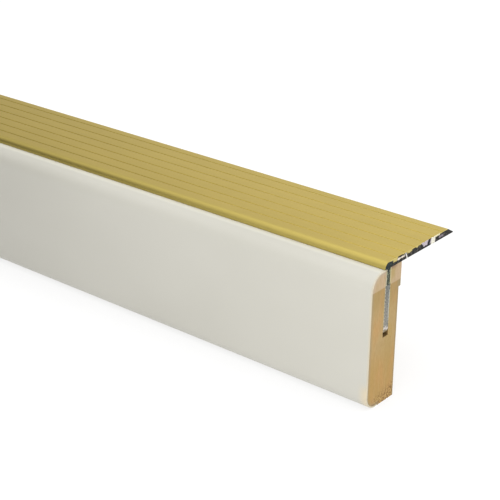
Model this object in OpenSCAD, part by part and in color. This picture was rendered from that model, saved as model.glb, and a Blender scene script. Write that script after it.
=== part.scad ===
// Stair nosing: an extruded aluminium cover over a faced front board.
// The cover's barbed tongue is pressed into a kerf in the top of the board.
// X runs along the stair's width, -Y is the front that faces the person climbing, +Z is up.
// The origin is under the middle of the whole section, on the floor that the board stands on.

/* [Length] */
// Length that the nosing is sold in
length = 1000; // [200:10:3000]

/* [Front board] */
// Height of the board under the cover
board_height = 57; // [45:0.5:150]
// Thickness of the board below its land
board_thickness = 18; // [15:0.5:40]
// Radius of the front top edge
top_round = 7; // [1:0.1:8]
// Radius of the front bottom edge
bottom_round = 6; // [0.5:0.1:8]
// Radius of the back bottom edge
back_ease = 0.3; // [0.2:0.1:3]
// How far the land at the top of the back stands proud
land_proud = 1.2; // [0.4:0.1:4]
// Height of that land, down from the top of the board
land_height = 10; // [4:0.5:25]

/* [Cover flange] */
// Setback of the cover's nose from the front of the board
nose_setback = 8.2; // [5:0.1:9]
// Width of the cover, from its nose to its thin back tip
flange_width = 47; // [30:0.5:80]
// Thickness of the cover
flange_thickness = 2.8; // [2:0.1:5]
// Radius of the nose
nose_round = 2.6; // [0.6:0.1:4]
// Run of the bevel along the back of the cover
tip_bevel = 4.1; // [1:0.1:8]
// Height of the blunt edge that the bevel leaves at the tip
tip_edge = 0.4; // [0.2:0.1:1.5]

/* [Anti-slip grooves] */
// First groove's middle, back from the nose
first_groove = 7; // [4:0.1:15]
// Distance from one groove to the next
groove_pitch = 6.4; // [2:0.1:15]
// Width of a groove at the surface
groove_width = 0.6; // [0.4:0.1:1.6]
// Width of a groove's flat floor
groove_floor = 0.2; // [0.2:0.1:1.2]
// Depth of a groove
groove_depth = 0.3; // [0.2:0.1:1.2]

/* [Tongue] */
// Middle of the tongue, back from the nose
tongue_setback = 2.4; // [1.8:0.1:4]
// Thickness of the plain neck under the cover
neck_thickness = 2; // [1.2:0.1:2.6]
// Length of the plain neck
neck_length = 6.7; // [2:0.1:12]
// Radius of the fillets between the neck and the cover
neck_fillet = 0.5; // [0.2:0.1:0.8]
// Width across the barbs' points
barb_width = 3.2; // [2.8:0.1:4.5]
// Width between the barbs
barb_root = 2.4; // [1.6:0.1:2.7]
// Height of one barb
barb_pitch = 1.5; // [0.8:0.1:3]
// Height of the flat on a barb's point
barb_flat = 0.3; // [0.1:0.1:0.6]
// Number of barbs down each side
barb_count = 13; // [3:1:14]

/* [Kerf in the board] */
// Clearance beside the barbs
kerf_clearance = 0.15; // [0.05:0.05:0.6]
// Empty depth below the tongue
kerf_relief = 2.1; // [0.5:0.1:6]

/* [Hidden] */
$fn = 96;
// Overrun of a cut past the face that it opens
overrun = 1;
// Depth that the tongue reaches into the cover, so that the two are one piece
root_lap = flange_thickness / 3;
board_top_thickness = board_thickness + land_proud;
cover_top = board_height + flange_thickness;
cover_tip = nose_setback + flange_width;
tongue_middle = nose_setback + tongue_setback;
tongue_length = neck_length + barb_count * barb_pitch;
groove_reach = flange_width - tip_bevel - groove_width - first_groove;
groove_count = floor(groove_reach / groove_pitch) + 1;

// What lies between a square corner at the origin and a quarter-round of this radius inside it.
// It is the waste of a rounded edge, and the filling of an inside corner.
module corner_piece(radius, margin = 0) {
    difference() {
        translate([-margin, -margin])
            square(radius + margin);
        translate([radius, radius])
            circle(radius);
    }
}

// Runs a section, drawn with its depth across and its height up, along the whole length.
module run_section() {
    translate([-length / 2, -cover_tip / 2, 0])
        rotate([90, 0, 90])
            linear_extrude(length)
                children();
}

// One anti-slip groove's section, open at the top, with its mouth at the origin.
module groove_section() {
    polygon([
        [-groove_width / 2, overrun],
        [-groove_width / 2, 0],
        [-groove_floor / 2, -groove_depth],
        [groove_floor / 2, -groove_depth],
        [groove_width / 2, 0],
        [groove_width / 2, overrun]
    ]);
}

// The cover: flat below, round at the nose, thin at the back tip and grooved along its top.
module flange_section() {
    difference() {
        polygon([
            [nose_setback, board_height],
            [cover_tip, board_height],
            [cover_tip, board_height + tip_edge],
            [cover_tip - tip_bevel, cover_top],
            [nose_setback, cover_top]
        ]);
        translate([nose_setback, cover_top])
            mirror([0, 1])
                corner_piece(min(nose_round, flange_thickness), overrun);
        for (i = [0 : groove_count - 1])
            translate([nose_setback + first_groove + i * groove_pitch, cover_top])
                groove_section();
    }
}

// One side of the tongue, from its root in the cover down.
// The plain neck comes first, then each barb's hook, flat and slope.
function tongue_side() = concat(
    [[neck_thickness / 2, root_lap], [neck_thickness / 2, -neck_length]],
    [for (i = [0 : barb_count - 1], corner = [
        [barb_width / 2, 0],
        [barb_width / 2, -barb_flat],
        [barb_root / 2, -barb_pitch]
    ]) corner - [0, neck_length + i * barb_pitch]]
);

// The same points on the other side of the middle, from the bottom up.
function mirrored_back(points) = [
    for (i = [len(points) - 1 : -1 : 0]) [-points[i].x, points[i].y]
];

// The tongue that hangs under the cover, with the fillets at its root.
module tongue_section() {
    translate([tongue_middle, board_height]) {
        polygon(concat(tongue_side(), mirrored_back(tongue_side())));
        for (side = [0, 1])
            mirror([side, 0])
                translate([neck_thickness / 2, 0])
                    mirror([0, 1])
                        corner_piece(neck_fillet, root_lap / 2);
    }
}

// The slot sawn into the top of the board for the tongue.
module kerf_section() {
    width = barb_width + 2 * kerf_clearance;
    depth = tongue_length + kerf_relief;
    translate([tongue_middle - width / 2, board_height - depth])
        square([width, depth + overrun]);
}

// The board's outline with its kerf: rounded at the front, with a land along the top of its back.
module board_section() {
    difference() {
        union() {
            square([board_thickness, board_height]);
            translate([0, board_height - land_height])
                square([board_top_thickness, land_height]);
        }
        corner_piece(bottom_round, overrun);
        translate([0, board_height])
            mirror([0, 1])
                corner_piece(top_round, overrun);
        translate([board_thickness, 0])
            mirror([1, 0])
                corner_piece(back_ease, overrun);
        kerf_section();
    }
}

module nosing_profile() {
    color([0.78, 0.69, 0.41]) {
        run_section()
            flange_section();
        run_section()
            tongue_section();
    }
}

module front_board() {
    color([0.87, 0.86, 0.82])
        run_section()
            board_section();
}

nosing_profile();
front_board();
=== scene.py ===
# %% [markdown]
# # A stair nosing in gold aluminium and white-faced board
# This lesson dresses a stair nosing: an aluminium cover whose tongue is pressed into the top of a
# front board. The solid model is already packed at its real size, so it is loaded first and nothing
# in it is moved. Both pieces are long bars with one section. So most of the lesson is about drawing
# two good sections, running them along the length, and giving the sawn ends and the skins the
# finishes that they really have.

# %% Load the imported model
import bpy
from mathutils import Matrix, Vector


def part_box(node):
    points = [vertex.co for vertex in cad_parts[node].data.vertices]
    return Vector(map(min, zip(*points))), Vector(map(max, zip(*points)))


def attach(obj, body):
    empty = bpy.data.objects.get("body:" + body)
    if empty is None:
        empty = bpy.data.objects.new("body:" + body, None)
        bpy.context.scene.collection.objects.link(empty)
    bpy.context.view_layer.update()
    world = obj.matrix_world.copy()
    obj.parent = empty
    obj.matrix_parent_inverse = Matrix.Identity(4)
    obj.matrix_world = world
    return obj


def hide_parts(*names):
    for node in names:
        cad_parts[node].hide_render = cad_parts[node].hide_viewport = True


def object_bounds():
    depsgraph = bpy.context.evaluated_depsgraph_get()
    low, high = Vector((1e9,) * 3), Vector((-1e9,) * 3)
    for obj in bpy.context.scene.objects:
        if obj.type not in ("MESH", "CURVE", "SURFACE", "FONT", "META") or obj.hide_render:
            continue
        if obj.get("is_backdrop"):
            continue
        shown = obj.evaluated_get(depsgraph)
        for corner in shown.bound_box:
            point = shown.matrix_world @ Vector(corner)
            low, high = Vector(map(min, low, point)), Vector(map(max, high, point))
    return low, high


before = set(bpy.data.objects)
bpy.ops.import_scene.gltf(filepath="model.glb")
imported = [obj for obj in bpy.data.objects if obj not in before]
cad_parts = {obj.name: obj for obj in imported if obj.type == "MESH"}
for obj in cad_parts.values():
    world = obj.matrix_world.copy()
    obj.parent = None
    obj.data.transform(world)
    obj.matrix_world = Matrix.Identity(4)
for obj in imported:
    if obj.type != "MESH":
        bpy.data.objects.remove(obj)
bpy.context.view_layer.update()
print("nodes:", sorted(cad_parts))

# %% Bring in the tools
import math

import bmesh
import bpy
import numpy as np
from mathutils import Matrix, Vector, geometry, noise

MM = 0.001
scene = bpy.context.scene
print("lengths are in metres, and a millimetre is", MM)

# %% [markdown]
# ## The main lines of the section
# Every height and depth that the solid model already has is read from it, so the dressed pieces
# can't drift away. Depth runs along Y, from the white front towards the thin tip of the cover, and
# height runs along Z. Only the small sizes that a box can't tell, such as the radii, are written
# further down, each with the piece that it shapes.

# %% Read the main lines
board_low, board_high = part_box("front_board")
cover_low, cover_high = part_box("nosing_profile")
near_end = cover_high.x
far_end = cover_low.x
front = board_low.y
land_back = board_high.y
seat = board_high.z
nose = cover_low.y
tip = cover_high.y
cover_top = cover_high.z
tongue_end = cover_low.z
print("section, mm:", round((tip - front) / MM, 2), "deep and", round(cover_top / MM, 2), "high")

# %% [markdown]
# ## Camera
# The picture to match was taken from the front and above, close to one sawn end, and it shows only
# that end. A camera can be aimed by eye, but the straight edges of the bar fix it better: they give
# the two angles, a slight roll, the focal length in pixels and the distance. These are set here as
# they were measured.

# %% Aim the camera
CAMERA_YAW = math.radians(39.29)
CAMERA_PITCH = math.radians(24.14)
CAMERA_ROLL = math.radians(0.535)


def aimed(yaw, pitch, roll):
    """The turn of a camera that looks along +Y, then swings towards -X, tips down and rolls."""
    right = Vector((math.cos(yaw), math.sin(yaw), 0))
    level = math.cos(pitch)
    ahead = Vector((-math.sin(yaw) * level, math.cos(yaw) * level, -math.sin(pitch)))
    up = right.cross(ahead)
    unrolled = Matrix((right, up, -ahead)).transposed().to_4x4()
    return unrolled @ Matrix.Rotation(roll, 4, "Z")


camera_turn = aimed(CAMERA_YAW, CAMERA_PITCH, CAMERA_ROLL)
print("camera turn, degrees:", [round(math.degrees(angle), 1) for angle in camera_turn.to_euler()])

# %% Place the camera
CAMERA_FROM_CORNER = Vector((244.5, -369.5, 265.2)) * MM
FOCAL_PIXELS = 1339.1
PICTURE_PIXELS = 500
SENSOR_WIDTH = 36
near_corner = Vector((near_end, front, 0))
camera_data = bpy.data.cameras.new("camera")
camera_data.sensor_width = SENSOR_WIDTH
camera_data.lens = SENSOR_WIDTH * FOCAL_PIXELS / PICTURE_PIXELS
camera = bpy.data.objects.new("camera", camera_data)
camera.matrix_world = Matrix.Translation(near_corner + CAMERA_FROM_CORNER) @ camera_turn
scene.collection.objects.link(camera)
scene.camera = camera
print("camera at, mm:", [round(v / MM, 1) for v in camera.matrix_world.translation])
print("lens, mm:", round(camera_data.lens, 1))

# %% [markdown]
# ## Drawing a section
# A section is a list of corners, each with its own radius, as on a workshop drawing. The corners
# could be bevelled after the bar is made, but then every groove and barb would fight over the
# bevel's width. So here the arcs are drawn first: two tangent points and the turn between them.
# The straights are divided too, because the sawn ends need points along their rims.

# %% Round a corner
OUTLINE_STEP = 0.5 * MM
LEAST_ARC_STEPS = 3


def arc_at(corner, before, after):
    """The points of the arc that rounds one corner, between the corners before and after it."""
    point = Vector(corner[:2])
    back = (Vector(before[:2]) - point).normalized()
    onward = (Vector(after[:2]) - point).normalized()
    half_angle = back.angle(onward) / 2
    radius = corner[2]
    centre = point + (back + onward).normalized() * (radius / math.sin(half_angle))
    start = point + back * (radius / math.tan(half_angle)) - centre
    end = point + onward * (radius / math.tan(half_angle)) - centre
    turn = start.angle_signed(end)
    steps = max(LEAST_ARC_STEPS, math.ceil(abs(turn) * radius / OUTLINE_STEP))
    spread = [turn * i / steps for i in range(steps + 1)]
    return [centre + Matrix.Rotation(-angle, 2) @ start for angle in spread]


print("points round a corner of 5 mm:", len(arc_at((0, 0, 5 * MM), (0, 1), (1, 0))))

# %% Turn corners into a fine outline
def fine_outline(corners):
    """A closed outline through rounded corners, in short steps along its straights and arcs."""
    count = len(corners)
    arcs = [arc_at(corners[i], corners[i - 1], corners[(i + 1) % count]) for i in range(count)]
    points = []
    for i, arc in enumerate(arcs):
        points += arc
        straight_end = arcs[(i + 1) % count][0]
        parts = max(1, math.ceil((straight_end - arc[-1]).length / OUTLINE_STEP))
        points += [arc[-1].lerp(straight_end, k / parts) for k in range(1, parts)]
    return points


print("an outline has a point at least every", OUTLINE_STEP / MM, "mm")

# %% [markdown]
# ## The tongue and its kerf
# The cover's tongue has a plain neck and then a row of barbs, which hook into a kerf sawn in the top
# of the board. Both sections need these sizes. Written twice they could disagree, so the kerf is
# worked out from the tongue and a small clearance.

# %% Sizes of the tongue and its kerf
TONGUE_SETBACK = 2.4 * MM
NECK_THICKNESS = 2 * MM
NECK_FILLET = 0.5 * MM
BARB_WIDTH = 3.2 * MM
BARB_ROOT = 2.4 * MM
BARB_PITCH = 1.5 * MM
BARB_FLAT = 0.3 * MM
BARB_COUNT = 13
KERF_CLEARANCE = 0.15 * MM
KERF_RELIEF = 2.1 * MM
tongue_middle = nose + TONGUE_SETBACK
barbs_top = tongue_end + BARB_COUNT * BARB_PITCH
kerf_front = tongue_middle - BARB_WIDTH / 2 - KERF_CLEARANCE
kerf_back = tongue_middle + BARB_WIDTH / 2 + KERF_CLEARANCE
kerf_floor = tongue_end - KERF_RELIEF
kerf_size = (kerf_back - kerf_front, seat - kerf_floor)
print("kerf, mm wide and deep:", [round(size / MM, 2) for size in kerf_size])

# %% [markdown]
# ## The board's section
# The board is a plain slip with a big round at the top of its front, a smaller one at the bottom, a
# low land along the top of its back and the kerf. The kerf could be cut out of a solid board, but as
# four more corners of the outline it stays exact and leaves no cutting to do.

# %% Sizes of the board's edges
TOP_ROUND = 7 * MM
BOTTOM_ROUND = 6 * MM
BACK_EASE = 0.3 * MM
CRISP = 0.15 * MM
LAND_PROUD = 1.2 * MM
LAND_HEIGHT = 10 * MM
board_back = land_back - LAND_PROUD
land_foot = seat - LAND_HEIGHT
print("board, mm:", round((board_back - front) / MM, 2), "thick below its land")

# %% Draw the board's section
board_outline = fine_outline([
    (front, 0, BOTTOM_ROUND),
    (board_back, 0, BACK_EASE),
    (board_back, land_foot, CRISP),
    (land_back, land_foot, CRISP),
    (land_back, seat, CRISP),
    (kerf_back, seat, CRISP),
    (kerf_back, kerf_floor, CRISP),
    (kerf_front, kerf_floor, CRISP),
    (kerf_front, seat, CRISP),
    (front, seat, TOP_ROUND),
])
print("board outline:", len(board_outline), "points")

# %% [markdown]
# ## The cover's section
# The cover is an extrusion: a thin flange with a round nose, a bevelled tip and grooves in its top,
# and the tongue under it. Typed out, its grooves and barbs would take about a hundred corners. So one
# function draws a side of the tongue, with a loop for its barbs, and another draws a groove.

# %% Sizes of the cover and its grooves
NOSE_ROUND = 2.6 * MM
FINE_EDGE = 0.08 * MM
TIP_BEVEL = 4.1 * MM
TIP_EDGE = 0.4 * MM
FIRST_GROOVE = 7 * MM
GROOVE_PITCH = 6.4 * MM
GROOVE_COUNT = 6
GROOVE_WIDTH = 0.6 * MM
GROOVE_FLOOR = 0.2 * MM
GROOVE_DEPTH = 0.3 * MM
grooves = [nose + FIRST_GROOVE + i * GROOVE_PITCH for i in range(GROOVE_COUNT)]
print("grooves, mm from the nose:", [round((middle - nose) / MM, 1) for middle in grooves])

# %% Draw the tongue and a groove
def tongue_corners(side):
    """The corners down one side of the tongue: side is -1 at its front and 1 at its back."""
    neck = tongue_middle + side * NECK_THICKNESS / 2
    point = tongue_middle + side * BARB_WIDTH / 2
    root = tongue_middle + side * BARB_ROOT / 2
    corners = [(neck, seat, NECK_FILLET), (neck, barbs_top, FINE_EDGE)]
    for i in range(BARB_COUNT):
        hook = barbs_top - i * BARB_PITCH
        corners.append((point, hook, FINE_EDGE))
        corners.append((point, hook - BARB_FLAT, FINE_EDGE))
        corners.append((root, hook - BARB_PITCH, FINE_EDGE))
    return corners


def groove_corners(middle):
    """The corners of one groove, from the back of its mouth to the front."""
    floor = cover_top - GROOVE_DEPTH
    return [
        (middle + GROOVE_WIDTH / 2, cover_top, FINE_EDGE),
        (middle + GROOVE_FLOOR / 2, floor, FINE_EDGE),
        (middle - GROOVE_FLOOR / 2, floor, FINE_EDGE),
        (middle - GROOVE_WIDTH / 2, cover_top, FINE_EDGE),
    ]


print("corners down one side of the tongue:", len(tongue_corners(1)))

# %% Draw the cover's section
cover_corners = [(nose, seat, CRISP)]
cover_corners += tongue_corners(-1)
cover_corners += reversed(tongue_corners(1))
cover_corners += [
    (tip, seat, FINE_EDGE),
    (tip, seat + TIP_EDGE, FINE_EDGE),
    (tip - TIP_BEVEL, cover_top, CRISP),
]
for middle in reversed(grooves):
    cover_corners += groove_corners(middle)
cover_corners.append((nose, cover_top, NOSE_ROUND))
cover_outline = fine_outline(cover_corners)
print("cover outline:", len(cover_outline), "points")

# %% [markdown]
# ## Nets for the sawn ends
# One flat face would close an end, but the ends are what this object shows, and a sawn end isn't
# flat. So each end is a net of small triangles, made from the outline and a grid of inner points.
# The rim of an end is drawn in by a hair's breadth first, because any handled edge is broken.

# %% Draw the rims in
EDGE_BREAK = 0.06 * MM


def drawn_in(outline, depth):
    """The outline moved inwards by a small depth."""
    count = len(outline)
    moved = []
    for i in range(count):
        along = (outline[(i + 1) % count] - outline[i - 1]).normalized()
        moved.append(outline[i] + Vector((-along.y, along.x)) * depth)
    return moved


board_rim = drawn_in(board_outline, EDGE_BREAK)
cover_rim = drawn_in(cover_outline, EDGE_BREAK)
print("rims drawn in by", EDGE_BREAK / MM, "mm")

# %% Tell which points lie inside
ANY_RISE = 1e-12


def inside_distance(points, outline):
    """Each point's distance from the nearest outline point, and whether it lies inside."""
    rim = np.array(outline)
    gap = np.linalg.norm(points[:, None, :] - rim[None, :, :], axis=2).min(axis=1)
    start, stop = rim, np.roll(rim, -1, axis=0)
    across, up = points[:, None, 0], points[:, None, 1]
    spans = (start[None, :, 1] > up) != (stop[None, :, 1] > up)
    rise = stop[:, 1] - start[:, 1]
    # A level edge spans no point, so any rise but zero will do for it.
    slope = (stop[:, 0] - start[:, 0]) / np.where(rise == 0, ANY_RISE, rise)
    meets = across < start[None, :, 0] + (up - start[None, :, 1]) * slope[None, :]
    return gap, (spans & meets).sum(axis=1) % 2 == 1


place_in_kerf = np.array([[tongue_middle, seat - KERF_RELIEF]])
_, in_board = inside_distance(place_in_kerf, board_outline)
print("a place in the kerf lies inside the board:", in_board[0])

# %% Net the cover's end
COVER_NET = 0.4 * MM
CLEAR_OF_RIM = 0.55
NET_TOLERANCE = 1e-4 * MM
INSIDE_ONLY = 1


def end_net(outline, spacing, lines=()):
    """Points and triangles that fill an outline. No triangle crosses the open polylines in lines."""
    rim = np.array(outline)
    low, high = rim.min(axis=0), rim.max(axis=0)
    columns = np.arange(low[0], high[0], spacing)
    rows = np.arange(low[1], high[1], spacing)
    grid_y, grid_z = np.meshgrid(columns, rows)
    grid_y[1::2] += spacing / 2
    grid = np.stack([grid_y.ravel(), grid_z.ravel()], axis=1)
    gap, inside = inside_distance(grid, outline)
    points = [Vector(p) for p in rim]
    edges = [(i, (i + 1) % len(points)) for i in range(len(points))]
    for line in lines:
        edges += [(len(points) + i, len(points) + i + 1) for i in range(len(line) - 1)]
        points += line
    points += [Vector(p) for p in grid[inside & (gap > spacing * CLEAR_OF_RIM)]]
    made = geometry.delaunay_2d_cdt(points, edges, [], INSIDE_ONLY, NET_TOLERANCE)
    return made[0], made[2]


cover_net = end_net(cover_rim, COVER_NET)
print("triangles in an end of the cover:", len(cover_net[1]))

# %% [markdown]
# ## The film's edge on the board's end
# The board's white face is a thin film wrapped round its front edges, so an end shows it as a narrow
# rim. Colour alone would follow the triangles and look ragged, so the inner edge of that rim is
# given to the net as a line that no triangle may cross.

# %% Trace the film
FILM = 0.6 * MM
FILM_WRAP = 7 * MM


def under_film(y, z):
    """True for a place on the outline that the film covers: the front, its rounds and the top."""
    return y < kerf_front - CRISP and (z > CRISP / 2 or y < front + FILM_WRAP)


def film_run(outline):
    """The points under the film, from one end of it to the other, of a drawn-in board outline."""
    covered = [p for p, place in zip(outline, board_outline) if under_film(place.x, place.y)]
    first = max(range(len(covered)), key=lambda i: (covered[i] - covered[i - 1]).length)
    return covered[first:] + covered[:first]


film_outside = film_run(board_rim)
film_inside = film_run(drawn_in(board_outline, FILM))
print("points along the film:", len(film_outside))

# %% Net the board's end
BOARD_NET = 0.45 * MM
board_net = end_net(board_rim, BOARD_NET, [film_inside])
print("triangles in an end of the board:", len(board_net[1]))

# %% [markdown]
# ## The sawn ends in relief
# A fine blade leaves shallow lines, and on board it also tears fibres out along the lower edge, where
# nothing backs them up. Such relief could be left to a bump map, but the chips break the rim, so
# they are made in the mesh. The noise has no random start, so it gives the same shape each time.
# The way into the bar, inwards, is 1 at the far end and -1 at the near one, and it also picks
# another layer of the noise, so that the two ends differ.

# %% Relief of the board's ends
SAW_DEPTH = 0.03 * MM
BOARD_SAW_LINES = (0.9, 0.08)
BOARD_CHIPS = (1.3, 1.5)
BOARD_LAYER = 40
CHIP_LAYER = 9
CHIP_ZONE = 5 * MM
CHIP_START = 6 * MM
CHIP_RUN_IN = 2 * MM
CHIP_DEPTH = 0.5 * MM
SECOND_PASS = 50 * MM
PASS_STEP = 0.04 * MM


def section_noise(y, z, per_mm, layer):
    """Noise from -1 to 1 on the section: per_mm holds its lumps per millimetre, across and up."""
    across, up = per_mm
    return noise.noise(Vector((y / MM * across, z / MM * up, layer)))


def saw_lines(y, z, per_mm, layer):
    """Depth of the blade's lines below the saw cut."""
    return SAW_DEPTH * (section_noise(y, z, per_mm, layer) * 0.5 + 0.5)


def board_relief(y, z, inwards):
    """Depth below the cut: blade lines, a shallow step between the two passes, and chips low down."""
    layer = BOARD_LAYER * inwards
    depth = saw_lines(y, z, BOARD_SAW_LINES, layer)
    if z < SECOND_PASS:
        depth += PASS_STEP
    run_in = min(1.0, max(0.0, (y - front - CHIP_START) / CHIP_RUN_IN))
    low = max(0.0, 1 - z / CHIP_ZONE) * run_in
    torn = section_noise(y, z, BOARD_CHIPS, layer + CHIP_LAYER)
    return depth + CHIP_DEPTH * low * max(0.0, torn)


deepest = max(board_relief(p.x, p.y, -1) for p in board_net[0])
print("deepest place in the board's near end, mm:", round(deepest / MM, 3))

# %% Relief of the cover's ends
COVER_SAW_LINES = (0.4, 3.5)
COVER_LAYER = 25


def cover_relief(y, z, inwards):
    """Depth below the cut: fine blade lines only, because metal doesn't chip."""
    return saw_lines(y, z, COVER_SAW_LINES, COVER_LAYER * inwards)


deepest = max(cover_relief(p.x, p.y, -1) for p in cover_net[0])
print("deepest place in the cover's near end, mm:", round(deepest / MM, 3))

# %% [markdown]
# ## Running a section into a bar
# A curve with a bevel section could sweep the bar, but its ends would be flat. So the walls are rings
# of points joined by quads, and the nets close both ends, each point at its depth below the cut.
# The rings lie close together near the ends, where the chips push them back, and far apart between.

# %% Choose places along the bar
END_SPANS = [x * MM for x in (0, 0.5, 1.5, 4, 12, 40, 120, 300)]
from_ends = [EDGE_BREAK + span for span in END_SPANS]
stations = [far_end + x for x in from_ends] + [near_end - x for x in reversed(from_ends)]
print("stations, mm:", [round(x / MM, 2) for x in stations])

# %% Build walls and ends
def ring_at(mesh, outline, places):
    """A ring of points round an outline, each at its own place along the length."""
    return [mesh.verts.new((x, p.x, p.y)) for x, p in zip(places, outline)]


def add_walls(mesh, outline, rim, far_cut, near_cut):
    """Rings from the far rim to the near rim, joined by quads, none of them past a saw cut."""
    limits = [(far + EDGE_BREAK, near - EDGE_BREAK) for far, near in zip(far_cut, near_cut)]
    rings = [ring_at(mesh, rim, far_cut)]
    for x in stations:
        rings.append(ring_at(mesh, outline, [min(max(x, far), near) for far, near in limits]))
    rings.append(ring_at(mesh, rim, near_cut))
    for ring, after in zip(rings, rings[1:]):
        for i in range(len(ring)):
            mesh.faces.new((ring[i - 1], ring[i], after[i], after[i - 1]))


def add_end(mesh, net, end, inwards, relief):
    """Closes one end with its net and stores each point's depth below the cut on the mesh."""
    points, faces = net
    below_cut = mesh.verts.layers.float["below_cut"]
    corners = []
    for p in points:
        depth = relief(p.x, p.y, inwards)
        corner = mesh.verts.new((end + inwards * depth, p.x, p.y))
        corner[below_cut] = depth
        corners.append(corner)
    for face in faces:
        mesh.faces.new([corners[i] for i in face])


print("rings in a bar:", len(stations) + 2)

# %% Make the board
WELD = 1e-3 * MM
SHARP_ANGLE = math.radians(28)


def make_bar(name, outline, rim, net, relief):
    """A bar along X. relief(y, z, inwards) gives how far an end's point lies below the saw cut."""
    mesh = bmesh.new()
    mesh.verts.layers.float.new("below_cut")
    far_cut = [far_end + relief(p.x, p.y, 1) for p in rim]
    near_cut = [near_end - relief(p.x, p.y, -1) for p in rim]
    add_walls(mesh, outline, rim, far_cut, near_cut)
    add_end(mesh, net, far_end, 1, relief)
    add_end(mesh, net, near_end, -1, relief)
    bmesh.ops.remove_doubles(mesh, verts=mesh.verts, dist=WELD)
    bmesh.ops.recalc_face_normals(mesh, faces=mesh.faces)
    data = bpy.data.meshes.new(name)
    mesh.to_mesh(data)
    mesh.free()
    data.shade_smooth()
    data.set_sharp_from_angle(angle=SHARP_ANGLE)
    bar = bpy.data.objects.new(name, data)
    scene.collection.objects.link(bar)
    print(name, "has", len(data.polygons), "faces")
    return bar


board = make_bar("faced_board", board_outline, board_rim, board_net, board_relief)

# %% Make the cover
cover = make_bar("cover_profile", cover_outline, cover_rim, cover_net, cover_relief)

# %% [markdown]
# ## Distance from the film
# Glue stains the board beside the film, and the stain follows the film round both edges. No simple
# formula of place gives that distance, so it is measured here and stored on the points of the ends,
# where a finish can read it.

# %% Measure how far each point lies from the film
FAR_FROM_FILM = 1.0


def film_gap(places):
    """Distance of places on the section from the film's outer face, a chain of short straights."""
    face = np.array(film_outside)
    start, run = face[:-1], face[1:] - face[:-1]
    reach = places[:, None, :] - start[None, :, :]
    share = np.clip((reach * run).sum(axis=2) / (run * run).sum(axis=1), 0, 1)
    return np.linalg.norm(reach - share[:, :, None] * run, axis=2).min(axis=1)


def mark_film_gap(piece):
    """Stores that distance on the points of both ends, and a large one everywhere else."""
    places = np.array([v.co for v in piece.data.vertices])
    gap = np.full(len(places), FAR_FROM_FILM)
    at_end = np.abs(places[:, 0]) > near_end - 2 * CHIP_DEPTH
    gap[at_end] = film_gap(places[at_end][:, 1:])
    mark = piece.data.attributes.new("from_film", "FLOAT", "POINT")
    mark.data.foreach_set("value", gap.astype(np.float32))
    print("points in and near the film's edge:", int((gap < FILM * 3).sum()))


mark_film_gap(board)

# %% [markdown]
# ## Writing finishes as arithmetic
# A finish is a small circuit of nodes. Placed one by one, each sum would take four lines, so one class
# wraps a socket and lets the plain operators add the Math nodes. Every node that a finish adds comes
# from its method node(), which sets a node up first and then fills its sockets with values or links.

# %% The socket class
class Signal:
    """An output socket in a node tree. Arithmetic on signals adds Math nodes to that tree."""

    def __init__(self, tree, socket):
        self.tree = tree
        self.socket = socket

    def node(self, kind, settings=None, output=0, **sockets):
        """Adds a node, sets it up, fills its sockets, and gives one output by number or name."""
        made = self.tree.nodes.new(kind)
        for name, value in (settings or {}).items():
            setattr(made, name, value)
        inputs = [socket for socket in made.inputs if socket.enabled]
        for name, value in sockets.items():
            labels = (name, name.replace("_", " "))
            socket = next(s for s in inputs if s.name in labels or s.identifier in labels)
            if isinstance(value, Signal):
                self.tree.links.new(value.socket, socket)
            else:
                socket.default_value = value
        outputs = [socket for socket in made.outputs if socket.enabled]
        if isinstance(output, str):
            return Signal(self.tree, next(s for s in outputs if s.name == output))
        return Signal(self.tree, outputs[output])

    def math(self, operation, first, second):
        """A Math node on two signals, or on a signal and a number."""
        return self.node("ShaderNodeMath", {"operation": operation}, Value=first, Value_001=second)

    def __add__(self, other):
        return self.math("ADD", self, other)

    def __radd__(self, other):
        return self.math("ADD", other, self)

    def __sub__(self, other):
        return self.math("SUBTRACT", self, other)

    def __rsub__(self, other):
        return self.math("SUBTRACT", other, self)

    def __mul__(self, other):
        return self.math("MULTIPLY", self, other)

    def __rmul__(self, other):
        return self.math("MULTIPLY", other, self)


print("signals add, subtract and multiply, with a number on either side")

# %% Start a finish
front_mm = front / MM
seat_mm = seat / MM
cover_top_mm = cover_top / MM
barbs_top_mm = barbs_top / MM
tongue_end_mm = tongue_end / MM


def new_finish(name):
    """A new material, its shader, and the place on the piece in millimetres."""
    material = bpy.data.materials.new(name)
    material.use_nodes = True
    shader = material.node_tree.nodes["Principled BSDF"]
    tree = Signal(material.node_tree, None)
    place = tree.node("ShaderNodeTexCoord", output="Object")
    place_mm = tree.node("ShaderNodeVectorMath", {"operation": "SCALE"}, Vector=place, Scale=1 / MM)
    return material, shader, place_mm


def axes(vector):
    """A vector's three numbers. For a place they run along the length, in depth and up."""
    split = vector.node("ShaderNodeSeparateXYZ", Vector=vector)
    return [Signal(vector.tree, socket) for socket in split.socket.node.outputs]


print("finishes count in millimetres: the board's top is at", round(seat_mm, 2))

# %% Patterns and colours
def grain(place, stretch, detail=2.0, roughness=0.5):
    """Noise from 0 to 1: stretch holds its lumps per millimetre along X, Y and Z."""
    product = {"operation": "MULTIPLY"}
    scaled = place.node("ShaderNodeVectorMath", product, Vector=place, Vector_001=stretch)
    return place.node(
        "ShaderNodeTexNoise", Vector=scaled, Scale=1.0, Detail=detail, Roughness=roughness
    )


def ramp(value, low, high):
    """0 below one limit and 1 above the other, with a smooth rise between them."""
    smooth = {"interpolation_type": "SMOOTHSTEP"}
    return value.node("ShaderNodeMapRange", smooth, Value=value, From_Min=low, From_Max=high)


def band(value, low, high, soft):
    """1 between two limits and 0 outside them, with soft edges."""
    return ramp(value, low - soft, low + soft) * (1 - ramp(value, high - soft, high + soft))


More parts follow.
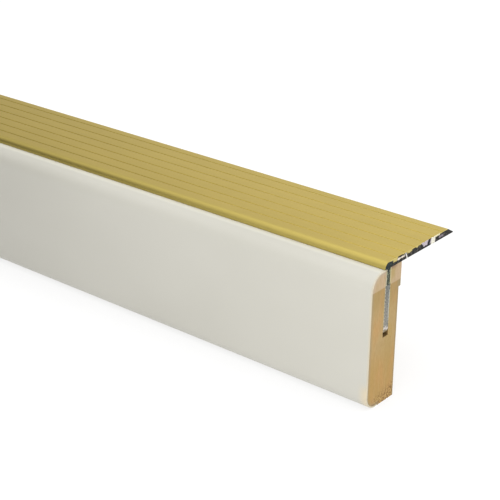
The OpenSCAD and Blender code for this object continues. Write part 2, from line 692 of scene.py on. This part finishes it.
def srgb(red, green, blue):
    """A screen colour from 0 to 255 as the linear values that shaders use."""
    shares = [v / 255 for v in (red, green, blue)]
    return tuple(v / 12.92 if v <= 0.04045 else ((v + 0.055) / 1.055) ** 2.4 for v in shares)


def mixed(factor, first, second):
    """A colour between two colours, which may be signals or red, green and blue from 0 to 1."""
    first, second = [c if isinstance(c, Signal) else (*c, 1.0) for c in (first, second)]
    settings = {"data_type": "RGBA", "clamp_factor": True}
    return factor.node("ShaderNodeMix", settings, Factor=factor, A=first, B=second)


print("a screen grey of 128 is", round(srgb(128, 128, 128)[0], 3), "in linear light")

# %% [markdown]
# ## Gold anodised skin
# The cover is dyed and sealed after it is extruded, so its gold is a satin metal with faint lines
# along the length, left by the die. A flat gold would look like plastic, so the colour, the gloss
# and a very shallow bump all follow noise that is stretched far along X. The nose, which feet meet
# first, is a little paler: partly trodden wear, partly a painted sheen.

# %% Gold finish
DARK_GOLD = srgb(170, 150, 73)
LIGHT_GOLD = srgb(182, 161, 82)
DULL_GOLD = srgb(163, 144, 69)
TRODDEN_SHEEN_GOLD = srgb(175, 158, 87)


def bumped(height, depth_mm, strength):
    """A normal from a height of 0 to 1, over a depth in millimetres."""
    return height.node("ShaderNodeBump", Height=height, Strength=strength, Distance=depth_mm * MM)


def closed(material, shader, **signals):
    """Links signals to the shader's sockets by their names, and gives the finished material."""
    for name, signal in signals.items():
        signal.tree.links.new(signal.socket, shader.inputs[name.replace("_", " ")])
    print(material.name, "has", len(material.node_tree.nodes), "nodes")
    return material


def gold_anodised():
    """Satin gold with die lines, slow clouds and a paler nose: trodden wear and a painted sheen."""
    material, shader, place = new_finish("gold_anodised")
    die_lines = grain(place, (0.004, 2.2, 2.2), detail=3.0)
    clouds = grain(place, (0.03, 0.05, 0.05))
    depth = axes(place)[1] - front_mm
    nose_end = (nose + NOSE_ROUND - front) / MM
    # The nose is paler: partly trodden wear, partly a painted sheen.
    trodden_sheen = 1 - ramp(depth, nose_end - 1.0, nose_end + 0.6)
    tone = mixed(die_lines, DARK_GOLD, LIGHT_GOLD)
    tone = mixed(ramp(clouds, 0.35, 0.7) * 0.25, tone, DULL_GOLD)
    tone = mixed(trodden_sheen, tone, TRODDEN_SHEEN_GOLD)
    dull = 0.4 + die_lines * 0.12
    scored = bumped(die_lines, depth_mm=0.02, strength=0.5)
    shader.inputs["Metallic"].default_value = 1.0
    return closed(material, shader, Base_Color=tone, Roughness=dull, Normal=scored)


gold_skin = gold_anodised()

# %% [markdown]
# ## Sawn aluminium
# Where the bar was cut the dye is gone. Over the cover and the neck the cut is painted dark and dull,
# a painted dark reflection, the barbed part of the tongue is plain grey, and a few places carry
# painted highlights almost white. Along the top edge the blade dragged some gold down over the cut.
# One noise would scatter such patches evenly, and they don't lie evenly, so each patch has its own
# place: its depth from the board's front and its height, in millimetres, how far it leans back for
# each millimetre down, its colour, and how soft its wandering edges are.

# %% Places of the patches
# The dark, lilac and dull smears and the burnished, bright and pale colours here are painted
# reflections and painted highlights on the cut.
DARK_PAINTED_REFLECTION = srgb(22, 22, 26)
LILAC_PAINTED_REFLECTION = srgb(190, 180, 188)
GREY_PAINTED_REFLECTION = srgb(134, 124, 132)
PAINTED_HIGHLIGHT = srgb(206, 198, 192)
WHITE_PAINTED_HIGHLIGHT = srgb(232, 230, 222)
CREAM_PAINTED_HIGHLIGHT = srgb(232, 229, 214)
WARM_PAINTED_HIGHLIGHT = srgb(222, 212, 196)
FLANK_PAINTED_HIGHLIGHT = srgb(186, 188, 178)
GLUED_TIP = srgb(140, 126, 98)
DRAGGED_GOLD = srgb(196, 180, 112)
PAINTED_GOLD_GLINT = srgb(226, 218, 184)
PATCHES = [
    ((31.8, 40.0), (57.9, 60.5), 0.9, LILAC_PAINTED_REFLECTION, 0.3),
    ((37.4, 39.2), (57.0, 60.0), -0.4, DARK_PAINTED_REFLECTION, 0.25),
    ((39.2, 42.0), (57.0, 60.5), 0.0, CREAM_PAINTED_HIGHLIGHT, 0.25),
    ((20.5, 21.2), (57.2, 60.5), 0.6, WHITE_PAINTED_HIGHLIGHT, 0.2),
    ((16.2, 21.0), (58.4, 59.1), 0.0, WARM_PAINTED_HIGHLIGHT, 0.2),
    ((44.8, 48.0), (57.7, 58.8), 0.0, GREY_PAINTED_REFLECTION, 0.4),
    ((8.8, 12.6), (29.8, 31.7), 0.0, GLUED_TIP, 0.3),
    ((9.0, 10.7), (31.9, 33.0), 0.0, PAINTED_HIGHLIGHT, 0.3),
    ((10.7, 12.4), (31.3, 32.3), 0.0, PAINTED_HIGHLIGHT, 0.3),
    ((11.6, 12.4), (35.0, 48.0), 0.0, FLANK_PAINTED_HIGHLIGHT, 0.3),
    ((13.2, 16.0), (58.4, 60.5), 0.0, DRAGGED_GOLD, 0.25),
    ((22.6, 25.8), (58.9, 60.5), 0.0, DRAGGED_GOLD, 0.25),
    ((28.6, 30.0), (59.2, 60.5), 0.0, DRAGGED_GOLD, 0.25),
    ((42.0, 45.4), (59.2, 60.5), 0.0, PAINTED_GOLD_GLINT, 0.25),
    ((16.4, 19.4), (59.2, 60.5), 0.0, DARK_PAINTED_REFLECTION, 0.15),
]
print("patches on a sawn end of the cover:", len(PATCHES))

# %% Metal under the patches
# The flange, root and neck tones are a painted dark reflection, lit on the neck by a few painted
# highlights.
FLANGE_REFLECTION_TONES = (srgb(12, 15, 15), srgb(88, 84, 78))
ROOT_REFLECTION_TONES = (srgb(16, 28, 30), srgb(64, 74, 68))
NECK_REFLECTION_TONES = (srgb(24, 34, 30), srgb(138, 144, 118))
UPPER_BARB_TONES = (srgb(98, 102, 98), srgb(140, 138, 130))
LOWER_BARB_TONES = (srgb(117, 118, 112), srgb(153, 149, 140))
BEHIND_NECK = (11.5, 13.5)
ABOVE_NECK = (seat_mm - 1.2, seat_mm - 0.2)
ABOVE_BARBS = (barbs_top_mm - 0.5, barbs_top_mm + 0.3)
UPPER_BARBS = (38.0, 47.0)


def bare_metal(mottle, fine, depth, height):
    """The cut without its patches: a flange, root and neck in painted dark reflection, and grey barbs.
    """
    flange = mixed(ramp(mottle, 0.42, 0.7), *FLANGE_REFLECTION_TONES)
    dark_spots = ramp(fine, 0.42, 0.7)
    root = mixed(dark_spots, *ROOT_REFLECTION_TONES)
    neck = mixed(dark_spots, *NECK_REFLECTION_TONES)
    top = mixed(ramp(depth, *BEHIND_NECK), root, flange)
    dark = mixed(ramp(height, *ABOVE_NECK), neck, top)
    grey_spots = ramp(fine, 0.3, 0.7)
    upper = mixed(grey_spots, *UPPER_BARB_TONES)
    lower = mixed(grey_spots, *LOWER_BARB_TONES)
    grey = mixed(ramp(height, *UPPER_BARBS), lower, upper)
    return mixed(ramp(height, *ABOVE_BARBS), grey, dark)


print("the dark neck ends at, mm:", round(barbs_top_mm, 2))

# %% Sawn metal finish
GOLD_DRAG = 0.25
GOLD_EDGE = (cover_top_mm - 0.1, cover_top_mm + 0.1)
GOLD_WANDER = 0.3
WANDER = 2.2
# In height the patches' edges wander less than in depth, and they are sharper.
HEIGHT_SHARE = 0.6


def sawn_aluminium():
    """The cut with gold dragged over its top edge, and its patches, mostly painted reflections and
    highlights, whose edges wander.
    """
    material, shader, place = new_finish("sawn_aluminium")
    _, deep, height = axes(place)
    depth = deep - front_mm
    mottle = grain(place, (0.4, 0.7, 1.1), detail=3.0, roughness=0.6)
    fine = grain(place, (1.6, 1.6, 1.6))
    wander = (mottle - 0.5) * WANDER
    dragged = ramp(height + GOLD_DRAG + wander * GOLD_WANDER, *GOLD_EDGE)
    tone = mixed(dragged, bare_metal(mottle, fine, depth, height), DRAGGED_GOLD)
    for (left, right), (low, high), lean, colour, soft in PATCHES:
        leaned = depth + wander + (height - high) * lean
        in_height = band(height + wander * HEIGHT_SHARE, low, high, soft * HEIGHT_SHARE)
        tone = mixed(band(leaned, left, right, soft) * in_height, tone, colour)
    dull = 0.65 - fine * 0.2
    smeared = bumped(mottle, depth_mm=0.1, strength=0.5)
    shader.inputs["Metallic"].default_value = 0.5
    shader.inputs["Specular IOR Level"].default_value = 0.2
    return closed(material, shader, Base_Color=tone, Roughness=dull, Normal=smeared)


sawn_metal = sawn_aluminium()

# %% [markdown]
# ## Glue on the tongue
# The tongue was pressed into its kerf with glue, which dried pale and hides the gold on its sides.
# It is only seen in the narrow gaps beside the tongue, so lumps of glue in the mesh would be wasted
# there, but its colour decides whether the gap looks black or light.

# %% Glue finish
GLUE_TONES = (srgb(206, 196, 168), srgb(232, 226, 206))


def dried_glue():
    """Pale, lumpy and half dull."""
    material, shader, place = new_finish("dried_glue")
    lumps = grain(place, (0.3, 1.2, 1.2), detail=3.0)
    tone = mixed(lumps, *GLUE_TONES)
    return closed(material, shader, Base_Color=tone, Roughness=0.5 + lumps * 0.2)


tongue_glue = dried_glue()

# %% [markdown]
# ## White film
# The front is wrapped in a satin off-white film. One even white would look painted on, and the real
# film isn't even: it has a slow cloudiness and the faintest orange peel, which breaks up the gloss.
# It is painted whitest close under the nose, a painted light where the nose would shade it. At the
# near end it is rubbed along the cut, and yellowed at the lower corner.

# %% Film finish
GREY_FILM = srgb(176, 174, 164)
WHITE_FILM = srgb(189, 187, 178)
PAINTED_LIGHT_FILM = srgb(200, 198, 186)
RUBBED_FILM = srgb(186, 178, 158)
YELLOWED_FILM = srgb(199, 185, 156)
UNDER_NOSE = (seat_mm - 0.35, seat_mm - 0.02)
RUBBED_WIDTH = (0.2, 1.0)
YELLOWED_WIDTH = (0.2, 5.0)
YELLOWED_HEIGHT = (8.0, 13.0)


def white_film():
    """Cloudy off-white satin with painted light under the nose, rubbed and yellowed at the near end.
    """
    material, shader, place = new_finish("white_film")
    clouds = grain(place, (0.012, 0.02, 0.02))
    peel = grain(place, (0.9, 0.9, 0.9), detail=1.0)
    along, _, height = axes(place)
    from_end = near_end / MM - along
    # Painted light: the film is made whiter close under the nose.
    painted_light = ramp(height, *UNDER_NOSE)
    rubbed = 1 - ramp(from_end, *RUBBED_WIDTH)
    yellowed = (1 - ramp(from_end, *YELLOWED_WIDTH)) * (1 - ramp(height, *YELLOWED_HEIGHT))
    tone = mixed(clouds, GREY_FILM, WHITE_FILM)
    tone = mixed(painted_light * 0.7, tone, PAINTED_LIGHT_FILM)
    tone = mixed(rubbed * 0.6, tone, RUBBED_FILM)
    tone = mixed(yellowed * 0.8, tone, YELLOWED_FILM)
    dull = 0.38 + clouds * 0.1
    uneven = bumped(peel, depth_mm=0.01, strength=0.3)
    return closed(material, shader, Base_Color=tone, Roughness=dull, Normal=uneven)


film_face = white_film()

# %% [markdown]
# ## Raw board
# Everything that the film leaves bare is pressed wood fibre: tan, with fine fibres and darker specks.
# The ends show two saw passes. The upper one is paler and pinker, with painted shade behind the tongue
# and a painted shadow under the cover, and below it the tan goes from olive to orange. A wood texture
# would bring in rings that pressed fibre doesn't have, so the colours come from soft noise and from
# ramps over depth and height. The saw's marks are kept to faces that look along the length.

# %% Colours of the lower saw pass
ORANGE_FOOT = srgb(171, 138, 78)
TAN_MIDDLE = srgb(172, 146, 97)
OLIVE_SHOULDER = srgb(161, 135, 85)
ORANGE_BLOTCH = srgb(182, 140, 84)
OLIVE_BLOTCH = srgb(164, 138, 78)
PALE_STREAK = srgb(184, 154, 106)
ABOVE_FOOT = (14.0, 28.0)
BELOW_SHOULDER = (42.0, 50.0)
SHOULDER_WANDER = 8


def lower_pass(place, height, blotches):
    """Tan board: orange at its foot and olive at its shoulder, with blotches and pale streaks."""
    streaks = grain(place, (0.02, 0.55, 0.04))
    tan = mixed(ramp(height, *ABOVE_FOOT), ORANGE_FOOT, TAN_MIDDLE)
    tan = mixed(ramp(height + blotches * SHOULDER_WANDER, *BELOW_SHOULDER), tan, OLIVE_SHOULDER)
    tan = mixed(ramp(blotches, 0.45, 0.7) * 0.7, tan, ORANGE_BLOTCH)
    tan = mixed((1 - ramp(blotches, 0.3, 0.5)) * 0.4, tan, OLIVE_BLOTCH)
    return mixed(ramp(streaks, 0.5, 0.75) * 0.35, tan, PALE_STREAK)


print("the lower pass ends at, mm:", SECOND_PASS / MM)

# %% Colours of the upper saw pass
PINK_TONES = (srgb(180, 157, 121), srgb(186, 161, 130))
PAINTED_SHADE_BY_TONGUE = srgb(168, 147, 94)
PAINTED_SHADOW_UNDER_COVER = srgb(142, 116, 98)
SHADE_BY_TONGUE_DEPTH = (12.2, 15.0)
SHADE_BY_TONGUE_HEIGHT = (50.0, 54.0)
UNDER_COVER = (seat_mm - 1.5, seat_mm - 0.4)
UNSHADED_BACK = (15.0, 17.0)


def upper_pass(depth, height, blotches):
    """Paler and pinker board, with painted shade behind the tongue and a painted shadow under the
    cover.
    """
    pale = mixed(ramp(blotches, 0.35, 0.65), *PINK_TONES)
    # Painted shade behind the tongue and a painted shadow just under the cover.
    shade_by_tongue = band(depth, *SHADE_BY_TONGUE_DEPTH, soft=1.5) * ramp(height, *SHADE_BY_TONGUE_HEIGHT)
    shadow_under_cover = ramp(height, *UNDER_COVER) * (1 - ramp(depth, *UNSHADED_BACK))
    pale = mixed(shade_by_tongue * 0.9, pale, PAINTED_SHADE_BY_TONGUE)
    return mixed(shadow_under_cover * 0.8, pale, PAINTED_SHADOW_UNDER_COVER)


print("the upper pass ends at, mm:", round(seat_mm, 2))

# %% Wear and painted shade of the sawn board
DARK_CRUMB = srgb(104, 68, 24)
PALE_CRUMB = srgb(206, 172, 112)
SQUEEZED_GLUE = srgb(170, 136, 48)
CHIP_PAINTED_SHADE = srgb(100, 68, 26)
TORN_HEIGHT = (0.0, 4.5)
TORN_SLOPE = 0.25
SQUEEZED_DEPTH = (12.6, 15.0)
SQUEEZED_HEIGHT = (26.8, 33.0)
CHIP_SHADE_DEPTHS = (0.12 * MM, 0.22 * MM)


def stored(place, name):
    """A number that was stored on the points of the mesh."""
    return place.node("ShaderNodeAttribute", {"attribute_name": name}, output="Fac")


def worn_and_shaded_end(place, tone, depth, height, on_end):
    """A tone with torn crumbs at the foot, glue squeezed out by the kerf, and painted shade in the
    chips.
    """
    crumbs = grain(place, (1.2, 1.2, 1.2), detail=3.0, roughness=0.7)
    torn = (1 - ramp(height - depth * TORN_SLOPE, *TORN_HEIGHT)) * on_end
    tone = mixed(ramp(crumbs, 0.5, 0.58) * torn * 0.85, tone, DARK_CRUMB)
    tone = mixed((1 - ramp(crumbs, 0.36, 0.46)) * torn * 0.6, tone, PALE_CRUMB)
    by_kerf = band(depth, *SQUEEZED_DEPTH, soft=0.5) * band(height, *SQUEEZED_HEIGHT, soft=1.2)
    tone = mixed(by_kerf * ramp(crumbs, 0.5, 0.6) * 0.7, tone, SQUEEZED_GLUE)
    # Painted shade: the chips are darker the deeper they lie below the cut.
    return mixed(ramp(stored(place, "below_cut"), *CHIP_SHADE_DEPTHS) * 0.8, tone, CHIP_PAINTED_SHADE)


print("chips turn dark from, mm:", [round(depth / MM, 2) for depth in CHIP_SHADE_DEPTHS])

# %% Raw board finish
DARK_FIBRE = srgb(146, 113, 61)
GREY_BACK_EDGE = srgb(140, 130, 98)
FILM_STAINS = (srgb(148, 134, 104), srgb(180, 164, 144))
BACK_EDGE = (16.4, 17.8)
PASS_EDGE = (SECOND_PASS / MM - 0.2, SECOND_PASS / MM + 0.2)
STAIN_WIDTH = 1.8 * MM


def raw_board():
    """Pressed fibre, with the saw's marks, wear and painted shade on its ends and glue stains beside
    the film.
    """
    material, shader, place = new_finish("raw_board")
    _, deep, height = axes(place)
    depth = deep - front_mm
    fibres = grain(place, (0.5, 1.6, 0.4), detail=4.0, roughness=0.6)
    blotches = grain(place, (0.02, 0.16, 0.05))
    facing = axes(place.node("ShaderNodeNewGeometry", output="True Normal"))[0]
    on_end = ramp(facing * facing, 0.3, 0.6)
    upper = ramp(height, *PASS_EDGE) * on_end
    back_edge = ramp(depth, *BACK_EDGE) * (1 - upper) * on_end
    tan = mixed(back_edge * 0.65, lower_pass(place, height, blotches), GREY_BACK_EDGE)
    tone = mixed(upper, tan, upper_pass(depth, height, blotches))
    tone = mixed(ramp(fibres, 0.35, 0.75) * 0.35, tone, DARK_FIBRE)
    tone = worn_and_shaded_end(place, tone, depth, height, on_end)
    by_film = 1 - ramp(stored(place, "from_film"), FILM, FILM + STAIN_WIDTH)
    tone = mixed(by_film * 0.6, tone, mixed(upper, *FILM_STAINS))
    dull = 0.75 + fibres * 0.15
    fibrous = bumped(fibres, depth_mm=0.08, strength=0.6)
    return closed(material, shader, Base_Color=tone, Roughness=dull, Normal=fibrous)


bare_board = raw_board()

# %% [markdown]
# ## Inside the kerf
# The bottom of the kerf is painted dark brown as painted shade, and above that its walls carry some of
# the pale glue. Left as raw board the slot would only look dark by its own shadow, so it gets both
# colours.

# %% Kerf finish
KERF_SHADE_TONES = (srgb(92, 70, 32), srgb(136, 108, 60))
GLUED_TONES = (srgb(206, 196, 150), srgb(226, 220, 180))
GLUED_FROM = (tongue_end_mm, tongue_end_mm + 3.0)


def shaded_kerf():
    """Dark brown painted shade at the bottom, with pale glue on the walls above it."""
    material, shader, place = new_finish("shaded_kerf")
    height = axes(place)[2]
    kerf_mottle = grain(place, (0.05, 0.8, 0.8), detail=3.0)
    # Painted shade: the bottom of the kerf is dark brown.
    kerf_shade = mixed(kerf_mottle, *KERF_SHADE_TONES)
    glued = mixed(kerf_mottle, *GLUED_TONES)
    tone = mixed(ramp(height, *GLUED_FROM), kerf_shade, glued)
    return closed(material, shader, Base_Color=tone, Roughness=0.8 + kerf_mottle * 0.1)


kerf_walls = shaded_kerf()

# %% [markdown]
# ## Edge of the film
# Where the film was cut with the board it shows a narrow cream edge, a little torn and duller than
# its face. The face's own white would make this rim shine, so it has a finish of its own.

# %% Film edge finish
CREAM_TONES = (srgb(190, 180, 156), srgb(204, 196, 175))


def film_edge():
    """Cream and uneven."""
    material, shader, place = new_finish("film_edge")
    torn = grain(place, (1.5, 1.5, 1.5))
    tone = mixed(torn, *CREAM_TONES)
    return closed(material, shader, Base_Color=tone, Roughness=0.55 + torn * 0.2)


film_rim = film_edge()

# %% [markdown]
# ## Giving each face its finish
# Walls and ends belong to one mesh each. They could be parted into several pieces, but then the rims
# would open, so each face takes its finish from the way that it looks and from where it lies.

# %% Dress the cover
END_FACING = 0.7


def is_end(face):
    """True for a face of a sawn end, which looks along the length."""
    return abs(face.normal.x) > END_FACING


def in_kerf(face):
    """True for a face that lies in the kerf, on its walls, on its floor or on the tongue."""
    _, y, z = face.center
    return kerf_front - CRISP < y < kerf_back + CRISP and kerf_floor - CRISP < z < seat - CRISP


def dress(piece, finishes, chosen):
    """Gives a piece its finishes, and each of its faces the one that chosen(face) gives."""
    for finish in finishes:
        piece.data.materials.append(finish)
    for face in piece.data.polygons:
        face.material_index = finishes.index(chosen(face))
    used = [face.material_index for face in piece.data.polygons]
    print(piece.name, "faces:", {finish.name: used.count(i) for i, finish in enumerate(finishes)})


def cover_finish(face):
    """The finish of one face of the cover."""
    if is_end(face):
        return sawn_metal
    return tongue_glue if in_kerf(face) else gold_skin


dress(cover, [gold_skin, sawn_metal, tongue_glue], cover_finish)

# %% Dress the board
film_depth = film_gap(np.array([face.center[1:] for face in board.data.polygons]))


def board_finish(face):
    """The finish of one face of the board."""
    if is_end(face):
        return film_rim if film_depth[face.index] < FILM - EDGE_BREAK else bare_board
    if in_kerf(face):
        return kerf_walls
    return film_face if under_film(face.center.y, face.center.z) else bare_board


dress(board, [film_face, bare_board, film_rim, kerf_walls], board_finish)

# %% [markdown]
# ## Tying the pieces to the solid model
# Nothing on this object moves, so both pieces ride on its one body. Each could lie over its plain
# solid, but then the two would flicker through each other, so it stands for that solid and hides it.

# %% Tie both pieces
PIECES = ((cover, "nosing_profile", "gold_aluminium"), (board, "front_board", "faced_board"))
for piece, node, slot in PIECES:
    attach(piece, "root")
    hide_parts(node)
    print(piece.name, "stands for", node)

# %% [markdown]
# ## Floor
# The picture has a plain white ground. A white floor would need so much light that the part would
# burn out, so this one is grey and glows by itself. It stays white with only a faint shadow, and it
# lights the part softly from below.

# %% Floor
FLOOR_HALF = 6.0
FLOOR_GREY = 0.2
FLOOR_GLOW = 0.75
FLOOR_ROUGHNESS = 0.9
floor_corners = [(-1, -1), (1, -1), (1, 1), (-1, 1)]
floor_points = [(x * FLOOR_HALF, y * FLOOR_HALF, 0) for x, y in floor_corners]
floor_mesh = bpy.data.meshes.new("floor")
floor_mesh.from_pydata(floor_points, [], [(0, 1, 2, 3)])
floor = bpy.data.objects.new("floor", floor_mesh)
scene.collection.objects.link(floor)
pale_floor = bpy.data.materials.new("pale_floor")
pale_floor.use_nodes = True
floor_shader = pale_floor.node_tree.nodes["Principled BSDF"]
floor_shader.inputs["Base Color"].default_value = (FLOOR_GREY, FLOOR_GREY, FLOOR_GREY, 1)
floor_shader.inputs["Roughness"].default_value = FLOOR_ROUGHNESS
floor_shader.inputs["Emission Color"].default_value = (1, 1, 1, 1)
floor_shader.inputs["Emission Strength"].default_value = FLOOR_GLOW
floor_mesh.materials.append(pale_floor)
floor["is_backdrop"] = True
print("floor, m:", 2 * FLOOR_HALF, "square")

# %% [markdown]
# ## Light
# The light is soft and strongest at the near end. The gold needs something to mirror, and lamps alone
# would show in it as small spots. So the sky holds three wide soft boxes, behind the bar, high in
# front and overhead, with a glow all round the horizon. The camera sees a plain white backdrop in
# place of that sky. Three soft lamps near the end make the front fade along its length. Each level
# was chosen by comparing renders.

# %% Sky
SOFT_BOXES = [
    ((0.3, 0.9, 0.35), 0.0, 1.58),
    ((-0.35, -0.35, 0.87), 0.7, 0.79),
    ((0, 0, 1), 0.6, 1.8),
]
HORIZON_GLOW = 0.15
GLOW_FADE = (0.05, 0.4)
BACKDROP = 1.0
world = bpy.data.worlds.new("studio")
scene.world = world
world.use_nodes = True
looking = Signal(world.node_tree, None).node("ShaderNodeTexCoord", output="Generated")
across, away, upward = axes(looking)
level = (1 - ramp(upward, *GLOW_FADE)) * HORIZON_GLOW
for direction, edge, strength in SOFT_BOXES:
    aim = Vector(direction).normalized()
    towards = across * aim.x + away * aim.y + upward * aim.z
    level = level + ramp(towards, edge, 1.0) * strength
seen = level.node("ShaderNodeLightPath", output="Is Camera Ray")
level = level * (1 - seen) + seen * BACKDROP
sky = world.node_tree.nodes["Background"]
sky.inputs["Color"].default_value = (1, 1, 1, 1)
world.node_tree.links.new(level.socket, sky.inputs["Strength"])
print("soft boxes in the sky:", len(SOFT_BOXES))

# %% Lamps
LAMPS = [
    ("low_lamp", (0.1, -0.25, 0.06), 0.56),
    ("nose_lamp", (-0.1, -0.14, 0.11), 0.07),
    ("key_lamp", (-0.2, -0.25, 0.35), 0.1),
]
LAMP_SIZE = 0.2
LAMP_AIM = Vector((-0.05, 0.02, 0.04))
for name, from_corner, watts in LAMPS:
    lamp_data = bpy.data.lights.new(name, "AREA")
    lamp_data.shape = "DISK"
    lamp_data.size = LAMP_SIZE
    lamp_data.energy = watts
    lamp = bpy.data.objects.new(name, lamp_data)
    lamp.visible_camera = False
    lamp_place = near_corner + Vector(from_corner)
    turn = (near_corner + LAMP_AIM - lamp_place).to_track_quat("-Z", "Y")
    lamp.matrix_world = Matrix.Translation(lamp_place) @ turn.to_matrix().to_4x4()
    scene.collection.objects.link(lamp)
scene.view_settings.view_transform = "Standard"
print("lamps:", len(LAMPS))

# %% [markdown]
# ## The dressed size
# The dressed part may not outgrow the solid model. The dressed part's size could be judged by eye in
# a side view, but a box says it exactly, so its size is printed before the lesson ends.

# %% Measure the dressed box and finish
lowest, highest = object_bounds()
print("dressed size, mm:", [round(v / MM, 2) for v in highest - lowest])
